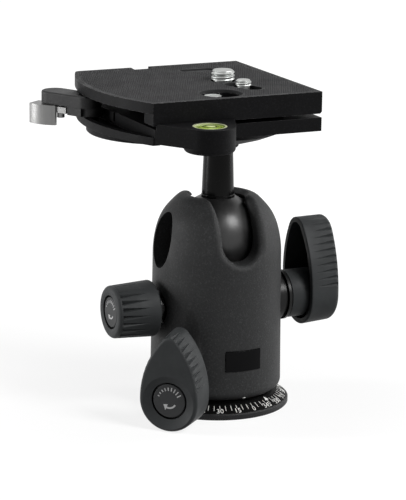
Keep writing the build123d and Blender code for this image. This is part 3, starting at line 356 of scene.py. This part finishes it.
def moulded(name, colour, roughness=0.55, grain=0.5 * MM, relief=0.02 * MM, lift=1.25, gloss=0.18):
    """Moulded rubber or plastic: faint mould grain, handling polish, patches of dust and painted
    shade in hollows.
    """
    cloud_size = 7 * MM
    dust_size = 2.4 * MM
    hollow_depth = 10 * MM
    edge_round = 0.2 * MM
    finish = Finish(name, colour, Specular_IOR_Level=gloss)
    grains = finish.noise(grain, detail=3.0, roughness=0.6)
    clouds = finish.noise(cloud_size, detail=4.0, roughness=0.55)
    dust = finish.span(finish.noise(dust_size, detail=5.0, roughness=0.7),
                       start=0.5, end=0.75, out_end=0.35)
    tone = finish.blend(finish.span(clouds), shade(colour, 0.88), shade(colour, 1.1))
    dusty = finish.blend(dust, tone, shade(colour, lift))
    # Painted shade: the colour darkens to 0.12 of itself deep in hollows and corners; the same mask
    # also lowers the roughness there.
    painted_hollow_shade = finish.span(finish.open_sky(hollow_depth), start=0.2, end=0.65)
    finish.set("Base Color", finish.blend(painted_hollow_shade, shade(colour, 0.12), dusty))
    polish = finish.span(clouds, start=0.35, out_start=roughness + 0.05, out_end=roughness - 0.06)
    sheen = finish.span(painted_hollow_shade, start=0.0, end=1.0, out_start=0.55)
    finish.set("Roughness", finish.times(polish, sheen))
    finish.set("Normal", finish.bump(grains, relief, 0.6, finish.soft_edges(edge_round)))
    return finish.material


def machined(name, colour, roughness=0.28, along_z=False, relief=0.006 * MM):
    """Bare metal: fine tool marks in rings or along Z, uneven sheen and duller spots."""
    mark_length = 7.2 * MM
    squeeze = 60
    cloud_size = 3 * MM
    edge_round = 0.12 * MM
    finish = Finish(name, colour, Metallic=1.0)
    stretch = (squeeze, squeeze, 1) if along_z else (1, 1, squeeze)
    marks = finish.noise(mark_length, detail=2.0, roughness=0.7, where=finish.stretched(*stretch))
    clouds = finish.noise(cloud_size, detail=4.0, roughness=0.6)
    tone = finish.blend(finish.span(marks), shade(colour, 0.86), shade(colour, 1.08))
    dull = finish.span(clouds, start=0.55, end=0.8, out_end=0.3)
    finish.set("Base Color", finish.blend(dull, tone, shade(colour, 0.7)))
    uneven = finish.span(clouds, out_start=roughness - 0.07, out_end=roughness + 0.09)
    streaks = finish.span(marks, out_start=-0.04, out_end=0.04)
    finish.set("Roughness", finish.calc("ADD", uneven, streaks))
    finish.set("Normal", finish.bump(marks, relief, 0.5, finish.soft_edges(edge_round)))
    return finish.material


def satin_black(name, colour, roughness, gloss, rings):
    """Hard-anodised alloy: satin black, with faint lathe rings where it is turned."""
    cloud_size = 5 * MM
    ring_length, squeeze = 5 * MM, 40
    grain = 0.6 * MM
    edge_round = 0.15 * MM
    finish = Finish(name, colour, Specular_IOR_Level=gloss)
    where = finish.stretched(1, 1, squeeze) if rings else finish.place
    marks = finish.noise(ring_length if rings else grain, detail=2.0, roughness=0.6, where=where)
    clouds = finish.noise(cloud_size, detail=4.0, roughness=0.6)
    tone = finish.blend(finish.span(clouds, start=0.35), shade(colour, 0.8), shade(colour, 1.25))
    finish.set("Base Color", tone)
    finish.set("Roughness", finish.span(clouds, out_start=roughness - 0.05,
                                        out_end=roughness + 0.08))
    finish.set("Normal", finish.bump(marks, 0.004 * MM, 0.5, finish.soft_edges(edge_round)))
    return finish.material


def printed(name, colour):
    """Thick printed ink, slightly uneven and worn through in small spots."""
    spot_size, grain = 0.25 * MM, 0.12 * MM
    finish = Finish(name, colour, Roughness=0.6)
    worn = finish.span(finish.noise(spot_size, detail=4.0, roughness=0.7),
                       start=0.62, end=0.72, out_end=0.7)
    finish.set("Base Color", finish.blend(worn, colour, shade(colour, 0.25)))
    finish.set("Normal", finish.bump(finish.noise(grain), 0.01 * MM, 0.4))
    return finish.material


def vial_liquid(name, colour):
    """Tinted liquid behind a clear, glossy lens."""
    cloud_size = 4 * MM
    finish = Finish(name, colour, Roughness=0.08, Coat_Weight=1.0, Coat_Roughness=0.03)
    depth = finish.noise(cloud_size, detail=3.0, roughness=0.5)
    finish.set("Base Color", finish.blend(finish.span(depth), shade(colour, 0.86),
                                          shade(colour, 1.12)))
    return finish.material


coat = powder_coat("coat_black", (0.022, 0.0225, 0.023), gloss=0.24)
platform_coat = powder_coat("platform_black", (0.006, 0.006, 0.0065), grain=0.3 * MM,
                            roughness=0.5, gloss=0.05)
plate_coat = powder_coat("plate_black", (0.006, 0.006, 0.0065), grain=0.28 * MM, roughness=0.45,
                         wear_and_highlight_colour=(0.45, 0.45, 0.46), wear_and_highlight_share=0.9, gloss=0.05)
lever_coat = powder_coat("lever_grey", (0.012, 0.012, 0.0125), grain=0.3 * MM, roughness=0.5)
scale_coat = powder_coat("scale_black", (0.003, 0.003, 0.003), grain=0.2 * MM, roughness=0.5,
                         gloss=0.05)
disc_coat = powder_coat("disc_black", (0.016, 0.016, 0.017), grain=0.25 * MM, roughness=0.5,
                        wear_and_highlight_colour=(0.4, 0.4, 0.4), wear_and_highlight_share=0.7)
knob_rubber = moulded("knob_rubber", (0.027, 0.029, 0.030), roughness=0.58)
cap_plastic = moulded("cap_plastic", (0.035, 0.036, 0.037), roughness=0.5, grain=0.3 * MM)
seal_rubber = moulded("seal_rubber", (0.008, 0.008, 0.008), roughness=0.28)
label_gloss = moulded("label_gloss", (0.003, 0.003, 0.0035), roughness=0.2, relief=0.003 * MM,
                      gloss=0.06)
slide_plastic = moulded("slide_plastic", (0.03, 0.03, 0.03), roughness=0.45)
pad_rubber = moulded("pad_rubber", (0.032, 0.032, 0.033), roughness=0.75, grain=0.3 * MM, lift=1.5)
ball_finish = satin_black("ball_black", (0.012, 0.012, 0.012), roughness=0.36, gloss=0.5,
                          rings=False)
neck_finish = satin_black("neck_black", (0.004, 0.004, 0.004), roughness=0.2, gloss=0.08,
                          rings=True)
steel = machined("zinc_steel", (0.40, 0.41, 0.40), roughness=0.42)
dark_steel = machined("dark_steel", (0.16, 0.16, 0.16), roughness=0.35)
brushed = machined("brushed_steel", (0.17, 0.17, 0.168), roughness=0.36, along_z=True,
                   relief=0.012 * MM)
alloy = machined("turned_alloy", (0.50, 0.50, 0.50), roughness=0.36)
bronze = machined("bearing_bronze", (0.52, 0.36, 0.16), roughness=0.34)
ink = printed("white_ink", (0.82, 0.82, 0.80))
faint_ink = printed("grey_ink", (0.5, 0.5, 0.5))
vial_rim = moulded("vial_rim", (0.62, 0.66, 0.42), roughness=0.3, relief=0.003 * MM)
vial_dye = vial_liquid("vial_dye", (0.50, 0.68, 0.10))
vial_bubble = vial_liquid("vial_bubble", (0.80, 0.90, 0.42))

dressed = {
    coat: ["housing"],
    platform_coat: ["clamp_base", "clamp_jaw"],
    plate_coat: ["camera_plate"],
    lever_coat: ["clamp_lever"],
    disc_coat: ["base_disc"],
    scale_coat: ["scale_ring"],
    knob_rubber: ["lock_knob", "friction_knob", "pan_knob"],
    cap_plastic: ["lock_cap", "friction_cap", "pan_cap"],
    seal_rubber: ["lock_collar", "friction_collar", "pan_collar"],
    label_gloss: ["label_plate"],
    slide_plastic: ["thrust_washer", "upper_liner", "ball_seat", "seat_carrier", "small_washer"],
    pad_rubber: ["plate_pad"],
    ball_finish: ["ball"],
    neck_finish: ["neck"],
    dark_steel: ["catch_pin", "lever_pin", "lever_spring"],
    brushed: ["lever_catch"],
    steel: ["thread_bush", "base_screws", "pivot_ring", "lock_plunger", "friction_plunger",
            "friction_springs", "friction_nut", "lock_spindle", "friction_spindle", "pan_spindle",
            "platform_screw", "large_screw", "small_screw", "stowed_screw"],
    alloy: ["pivot_post", "pivot_block", "bore_plug"],
    bronze: ["post_bush", "lock_bush", "friction_bush", "pan_bush", "pan_shoe"],
    vial_rim: ["bubble_ring"],
    vial_dye: ["bubble_vial"],
}
for material, names in dressed.items():
    for name in names:
        nodes[name].data.materials.clear()
        nodes[name].data.materials.append(material)


# ---------------------------------------------------------------- graduated scale
scale_zero = math.radians(front + 9.0)
scale_arrow = math.radians(front + 29.5)
tick_step = 5
number_step = 15
tick_inner = 26.2 * MM
tick_outer = 28.7 * MM
tick_half_width = 0.11 * MM
numbered_outer = 27.6 * MM
number_radius = 28.95 * MM
number_size = 3.1 * MM
arrow_inner = 24.9 * MM
arrow_outer = 26.8 * MM
arrow_half_width = 1.1 * MM
ink_height = 0.05 * MM


def on_scale(radius, angle, lift):
    """A point on the cone of the scale, lifted along the cone's own normal."""
    fall = scale_top_height - scale_foot_height
    run = scale_foot_radius - scale_top_radius
    slope = math.hypot(fall, run)
    height = scale_foot_height + fall * (scale_foot_radius - radius) / run
    out = radius + lift * fall / slope
    return Vector((out * math.cos(angle), out * math.sin(angle), height + lift * run / slope))


def make_scale():
    """A tick every 5 degrees, a number every 15 and a small triangle, bent onto the cone."""
    shape = bmesh.new()
    half = tick_half_width
    for value in range(0, 360, tick_step):
        angle = scale_zero - math.radians(value)
        end = tick_outer if value % number_step else numbered_outer
        outline = [(tick_inner, -half), (end, -half), (end, half), (tick_inner, half)]
        add_prism(shape, outline, lambda x, y, lift: on_scale(x, angle + y / x, lift),
                  -ink_height, ink_height)
    for value in range(0, 360, number_step):
        angle = scale_zero - math.radians(value)
        add_text(shape, str(value), number_size,
                 lambda x, y, lift: on_scale(number_radius - y, angle + x / number_radius, lift),
                 -ink_height, ink_height)
    outline = [(arrow_inner, 0), (arrow_outer, -arrow_half_width), (arrow_outer, arrow_half_width)]
    add_prism(shape, outline, lambda x, y, lift: on_scale(x, scale_arrow + y / x, lift),
              -ink_height, ink_height)
    make_piece("scale_marks", shape, "base", ink, smooth=False)


def make_index_dot():
    """A drop of paint low on the rounded foot of the housing."""
    aside = math.radians(front + 2.0)
    tilt = math.radians(54)
    shape = bmesh.new()
    foot_centre = Vector((housing_radius - foot_round, 0, housing_bottom + foot_round))
    outward = Vector((math.cos(tilt), 0, -math.sin(tilt)))
    facing = outward.to_track_quat("Z", "Y").to_matrix().to_4x4()
    place = (Matrix.Rotation(aside, 4, "Z")
             @ Matrix.Translation(foot_centre + outward * foot_round) @ facing)
    profile = dome_profile(radius=0.72 * MM, crown=0.3 * MM, root=0.1 * MM, steps=6)
    add_turned(shape, profile, place, 32)
    make_piece("index_dot", shape, "body", ink)


make_scale()
make_index_dot()


# ---------------------------------------------------------------- camera screws
def make_screw(node, body, radius, neck_radius, pitch, head_radius, tip):
    """Slotted head, neck and threaded end in place of the plain CAD screw."""
    head_height = 3.0 * MM
    head_rim = 0.3 * MM
    half_slot = 0.75 * MM
    slot_depth = 1.2 * MM
    thread_depth = 0.45 * pitch
    thread_lift = 0.5 * MM
    joint = 0.3 * MM
    arc_steps = 24

    bottom, top = low(node), high(node)
    centre = Vector((middle(node).x, middle(node).y, 0))
    thread_start = high("camera_plate").z + thread_lift
    neck_top = thread_start - bottom.z + joint
    shape = threaded(radius, pitch, thread_depth, thread_start, top.z, tip, centre)
    head = bmesh.new()
    add_turned(head, [
        (0, slot_depth), (head_radius, slot_depth), (head_radius, head_height - head_rim),
        (head_radius - head_rim, head_height), (neck_radius, head_height),
        (neck_radius, neck_top), (0, neck_top)],
        Matrix.Translation(centre + Vector((0, 0, bottom.z))))
    span = math.acos(half_slot / head_radius)
    arc = [span * (2 * i / arc_steps - 1) for i in range(arc_steps + 1)]
    for side in (-1, 1):
        outline = [(head_radius * math.sin(a), side * head_radius * math.cos(a)) for a in arc]
        add_prism(head, outline,
                  lambda x, y, lift: centre + Vector((x, y, bottom.z + lift)), 0, slot_depth)
    merged = bpy.data.meshes.new("head")
    head.to_mesh(merged)
    head.free()
    shape.from_mesh(merged)
    bpy.data.meshes.remove(merged)
    piece = make_piece(node + "_threaded", shape, body, steel)
    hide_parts(node)


make_screw("large_screw", "large_camera_screw", radius=4.76 * MM, neck_radius=3.9 * MM,
           pitch=coarse_pitch, head_radius=8.0 * MM, tip=0.9 * MM)
make_screw("small_screw", "small_camera_screw", radius=3.175 * MM, neck_radius=2.55 * MM,
           pitch=fine_pitch, head_radius=5.6 * MM, tip=0.6 * MM)


def make_bush_thread():
    """The ridge of the female thread on the wall of the tripod bush."""
    wall, crest = 4.86 * MM, 4.05 * MM
    foot_half = 0.46 * coarse_pitch
    crest_half = 0.12 * foot_half
    steps = 60
    bottom, top = 0.5 * MM, high("thread_bush").z - 1.6 * MM
    count = int((top - bottom - 2 * foot_half) / coarse_pitch * steps)
    section = ((wall, -foot_half), (crest, -crest_half), (crest, crest_half), (wall, foot_half))
    shape = bmesh.new()
    rows = []
    for step in range(count + 1):
        angle = 2 * math.pi * step / steps
        height = bottom + foot_half + coarse_pitch * step / steps
        rows.append([shape.verts.new((r * math.cos(angle), r * math.sin(angle), height + z))
                     for r, z in section])
    for here, there in zip(rows, rows[1:]):
        bridge(shape, here, there)
    shape.faces.new(rows[0])
    shape.faces.new(rows[-1][::-1])
    make_piece("bush_thread", shape, "base", steel)


make_bush_thread()


# ---------------------------------------------------------------- rubber studs of the pad
stud_pitch = 1.0 * MM
stud_half = 0.33 * MM
stud_crown = 0.17 * MM
stud_height = 0.13 * MM
stud_root = 0.03 * MM
stud_border = 0.72 * MM
level_tolerance = 0.02 * MM


def make_pad_studs():
    """Rows of small pyramids over the pad, left out beside its edges and openings."""
    pad = nodes["plate_pad"].data
    tree = BVHTree.FromPolygons([v.co.copy() for v in pad.vertices],
                                [list(p.vertices) for p in pad.polygons])
    first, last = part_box("plate_pad")
    shape = bmesh.new()

    def on_pad(x, y):
        above = Vector((x, y, pad_top + 5 * MM))
        found = tree.ray_cast(above, Vector((0, 0, -1)))[0]
        return found is not None and abs(found.z - pad_top) < level_tolerance

    around = [(math.cos(a) * stud_border, math.sin(a) * stud_border)
              for a in [math.pi / 4 * i for i in range(8)]]
    for row in range(int((last.y - first.y) / stud_pitch)):
        for column in range(int((last.x - first.x) / stud_pitch)):
            x = first.x + (column + 0.5 + 0.5 * (row % 2)) * stud_pitch
            y = first.y + (row + 0.5) * stud_pitch
            if not all(on_pad(x + dx, y + dy) for dx, dy in around):
                continue
            lower = [shape.verts.new((x + sx * stud_half, y + sy * stud_half, pad_top - stud_root))
                     for sx, sy in square]
            upper = [shape.verts.new((x + sx * stud_crown, y + sy * stud_crown,
                                      pad_top + stud_height)) for sx, sy in square]
            shape.faces.new(upper)
            bridge(shape, lower, upper)
    make_piece("pad_studs", shape, "plate", pad_rubber, smooth=False)


make_pad_studs()


# ---------------------------------------------------------------- caps of the knobs
def side_matrix(angle, height):
    """Local +Z points outwards from the vertical axis, local +Y points up."""
    up = Vector((0, 0, 1))
    outward = Vector((math.cos(angle), math.sin(angle), 0))
    columns = Matrix((up.cross(outward), up, outward)).transposed().to_4x4()
    return Matrix.Translation(up * height) @ columns


def add_arc_arrow(shape, put, radius, start, end, width, head, bottom, top):
    """A clockwise stroke from start to end, in degrees, with an arrow head at its end."""
    steps = 20
    barb = 0.75 * head
    first, last = math.radians(start), math.radians(end)
    turns = [first + (last - first) * i / steps for i in range(steps + 1)]

    def ring(distance):
        return [(math.cos(a) * distance, math.sin(a) * distance) for a in turns]

    outer, inner = ring(radius + width / 2), ring(radius - width / 2)
    for index in range(steps):
        after = index + 1
        add_prism(shape, [outer[index], outer[after], inner[after], inner[index]],
                  put, bottom, top)
    tip_turn = last - head / radius
    tip = (math.cos(tip_turn) * radius, math.sin(tip_turn) * radius)
    barbs = [(math.cos(last) * (radius + side * barb), math.sin(last) * (radius + side * barb))
             for side in (1, -1)]
    add_prism(shape, [tip, *barbs], put, bottom, top)


def make_cap_marks(name, body, angle, height, radius, face):
    """A turning arrow under a row of strokes that grow along the turn, printed on a cap."""
    place = side_matrix(angle, height)
    bottom, top = face - 0.04 * MM, face + 0.03 * MM
    strokes = 9
    first_turn, all_turns = 160, 130
    stroke_radius = 0.70 * radius
    half_width = 0.03 * radius
    shape = bmesh.new()

    def put(x, y, lift):
        return place @ Vector((x, y, lift))

    add_arc_arrow(shape, put, 0.42 * radius, start=-28, end=-112, width=0.10 * radius,
                  head=0.26 * radius, bottom=bottom, top=top)
    for index in range(strokes):
        turn = math.radians(first_turn - all_turns * index / (strokes - 1))
        half_length = (0.05 + 0.012 * index) * radius
        ray = Vector((math.cos(turn), math.sin(turn)))
        across = Vector((-ray.y, ray.x))
        corners = [ray * (stroke_radius + s * half_length) + across * (t * half_width)
                   for s, t in square]
        add_prism(shape, [tuple(corner) for corner in corners], put, bottom, top)
    make_piece(name, shape, body, faint_ink, smooth=False)


make_cap_marks("lock_marks", "lock_control", lock_angle, lock_axis_height,
               radius=7.1 * MM, face=high("lock_cap").x)
make_cap_marks("friction_marks", "friction_control", friction_angle, lock_axis_height,
               radius=6.4 * MM, face=-low("friction_cap").x)
make_cap_marks("pan_marks", "pan_control", pan_angle, pan_axis_height,
               radius=7.1 * MM, face=reach("pan_cap", pan_angle))


# ---------------------------------------------------------------- bubble level
def make_bubble():
    """The air bubble under the lens and the ring that it has to sit in."""
    bubble_aside = Vector((0.5 * MM, 0.3 * MM, 0))
    bubble_sunk = Vector((0, 0, 0.12 * MM))
    ring_sunk = Vector((0, 0, 0.2 * MM))
    ring_inner, ring_outer = 2.7 * MM, 2.95 * MM
    lens = Vector((vial_centre.x, vial_centre.y, vial_top))
    bubble = bmesh.new()
    profile = dome_profile(radius=1.9 * MM, crown=0.28 * MM, root=0.2 * MM, steps=9)
    add_turned(bubble, profile, Matrix.Translation(lens + bubble_aside - bubble_sunk), 48)
    make_piece("air_bubble", bubble, "platform", vial_bubble)
    ring = bmesh.new()
    add_turned(ring, [(ring_inner, 0), (ring_outer, 0), (ring_outer, 0.12 * MM),
                      (ring_inner, 0.14 * MM)], Matrix.Translation(lens - ring_sunk), 64)
    make_piece("level_ring", ring, "platform", seal_rubber)


make_bubble()


# ---------------------------------------------------------------- stage, light and camera
def background_rays(tree):
    """1 for the rays that show the white background: camera, glossy and transmission rays."""
    rays = add_node(tree, "ShaderNodeLightPath")
    seen = rays.outputs["Is Camera Ray"]
    for kind in ("Is Glossy Ray", "Is Transmission Ray"):
        seen = add_node(tree, "ShaderNodeMath", {0: seen, 1: rays.outputs[kind]},
                        operation="MAXIMUM").outputs[0]
    return seen


def make_stage():
    """A pale floor that glows white for the background's rays; its glow is dimmed near the middle
    as painted shade, so that the real contact shadow shows there.
    """
    half = 6.0
    albedo = 0.22
    near, far = 0.06, 0.4
    near_glow, far_glow = 0.8, 1.0
    floor_mesh = bpy.data.meshes.new("floor")
    floor_mesh.from_pydata([(half * sx, half * sy, 0) for sx, sy in square], [], [(0, 1, 2, 3)])
    floor = bpy.data.objects.new("floor", floor_mesh)
    bpy.context.scene.collection.objects.link(floor)
    paper = bpy.data.materials.new("paper")
    paper.use_nodes = True
    tree = paper.node_tree
    shader = tree.nodes["Principled BSDF"]
    shader.inputs["Base Color"].default_value = (albedo, albedo, albedo, 1)
    shader.inputs["Roughness"].default_value = 0.9
    shader.inputs["Specular IOR Level"].default_value = 0.0
    position = add_node(tree, "ShaderNodeNewGeometry").outputs["Position"]
    distance = add_node(tree, "ShaderNodeVectorMath", {0: position}, operation="LENGTH")
    # Painted shade: the glow falls from 1.0 far out to 0.8 near the middle, under the head.
    whiteness = add_node(tree, "ShaderNodeMapRange", {
        "Value": distance.outputs["Value"], "From Min": near, "From Max": far,
        "To Min": near_glow, "To Max": far_glow})
    strength = add_node(tree, "ShaderNodeMath", {
        0: background_rays(tree), 1: whiteness.outputs["Result"]}, operation="MULTIPLY")
    glow = add_node(tree, "ShaderNodeEmission", {"Strength": strength.outputs[0]})
    both = add_node(tree, "ShaderNodeAddShader", {0: shader.outputs[0], 1: glow.outputs[0]})
    tree.links.new(both.outputs[0], tree.nodes["Material Output"].inputs["Surface"])
    floor_mesh.materials.append(paper)


def make_world():
    """White for the background's rays, and a dim even light for all others."""
    dim, white = 0.06, 1.0
    world = bpy.data.worlds.new("studio")
    bpy.context.scene.world = world
    world.use_nodes = True
    tree = world.node_tree
    tree.nodes.clear()
    strength = add_node(tree, "ShaderNodeMapRange", {
        "Value": background_rays(tree), "To Min": dim, "To Max": white})
    sky = add_node(tree, "ShaderNodeBackground", {
        "Color": (1, 1, 1, 1), "Strength": strength.outputs["Result"]})
    output = add_node(tree, "ShaderNodeOutputWorld")
    tree.links.new(sky.outputs[0], output.inputs["Surface"])


def add_softbox(name, place, size, power):
    """A rectangular area lamp that looks at the middle of the head."""
    target = Vector((0, 0, 0.075))
    lamp = bpy.data.lights.new(name, "AREA")
    lamp.shape = "RECTANGLE"
    lamp.size, lamp.size_y = size
    lamp.energy = power
    holder = bpy.data.objects.new(name, lamp)
    bpy.context.scene.collection.objects.link(holder)
    holder.location = place
    holder.rotation_mode = "QUATERNION"
    holder.rotation_quaternion = (target - Vector(place)).to_track_quat("-Z", "Y")


def make_camera():
    """The camera that was fitted to the photo."""
    place = Vector((-0.4426, -0.9225, 0.3172))
    aim = Vector((0.4150, 0.8778, -0.2392))
    roll = math.radians(0.77)
    lens = bpy.data.cameras.new("camera")
    lens.sensor_width = 36
    lens.lens = 180.7
    lens.clip_start, lens.clip_end = 0.05, 50
    camera = bpy.data.objects.new("camera", lens)
    bpy.context.scene.collection.objects.link(camera)
    facing = aim.to_track_quat("-Z", "Y").to_matrix().to_4x4()
    camera.matrix_world = Matrix.Translation(place) @ facing @ Matrix.Rotation(roll, 4, "Z")
    bpy.context.scene.camera = camera


make_stage()
make_world()
add_softbox("left", (-0.85, 0.38, 0.16), (0.2, 0.5), power=8)
add_softbox("right_front", (0.40, -0.75, 0.75), (0.4, 0.4), power=10)
add_softbox("right", (0.80, -0.05, 0.22), (0.25, 0.7), power=3.8)
add_softbox("top_left", (-0.45, 0.15, 0.95), (0.4, 0.4), power=1.6)
make_camera()

scene = bpy.context.scene
scene.view_settings.view_transform = "Standard"
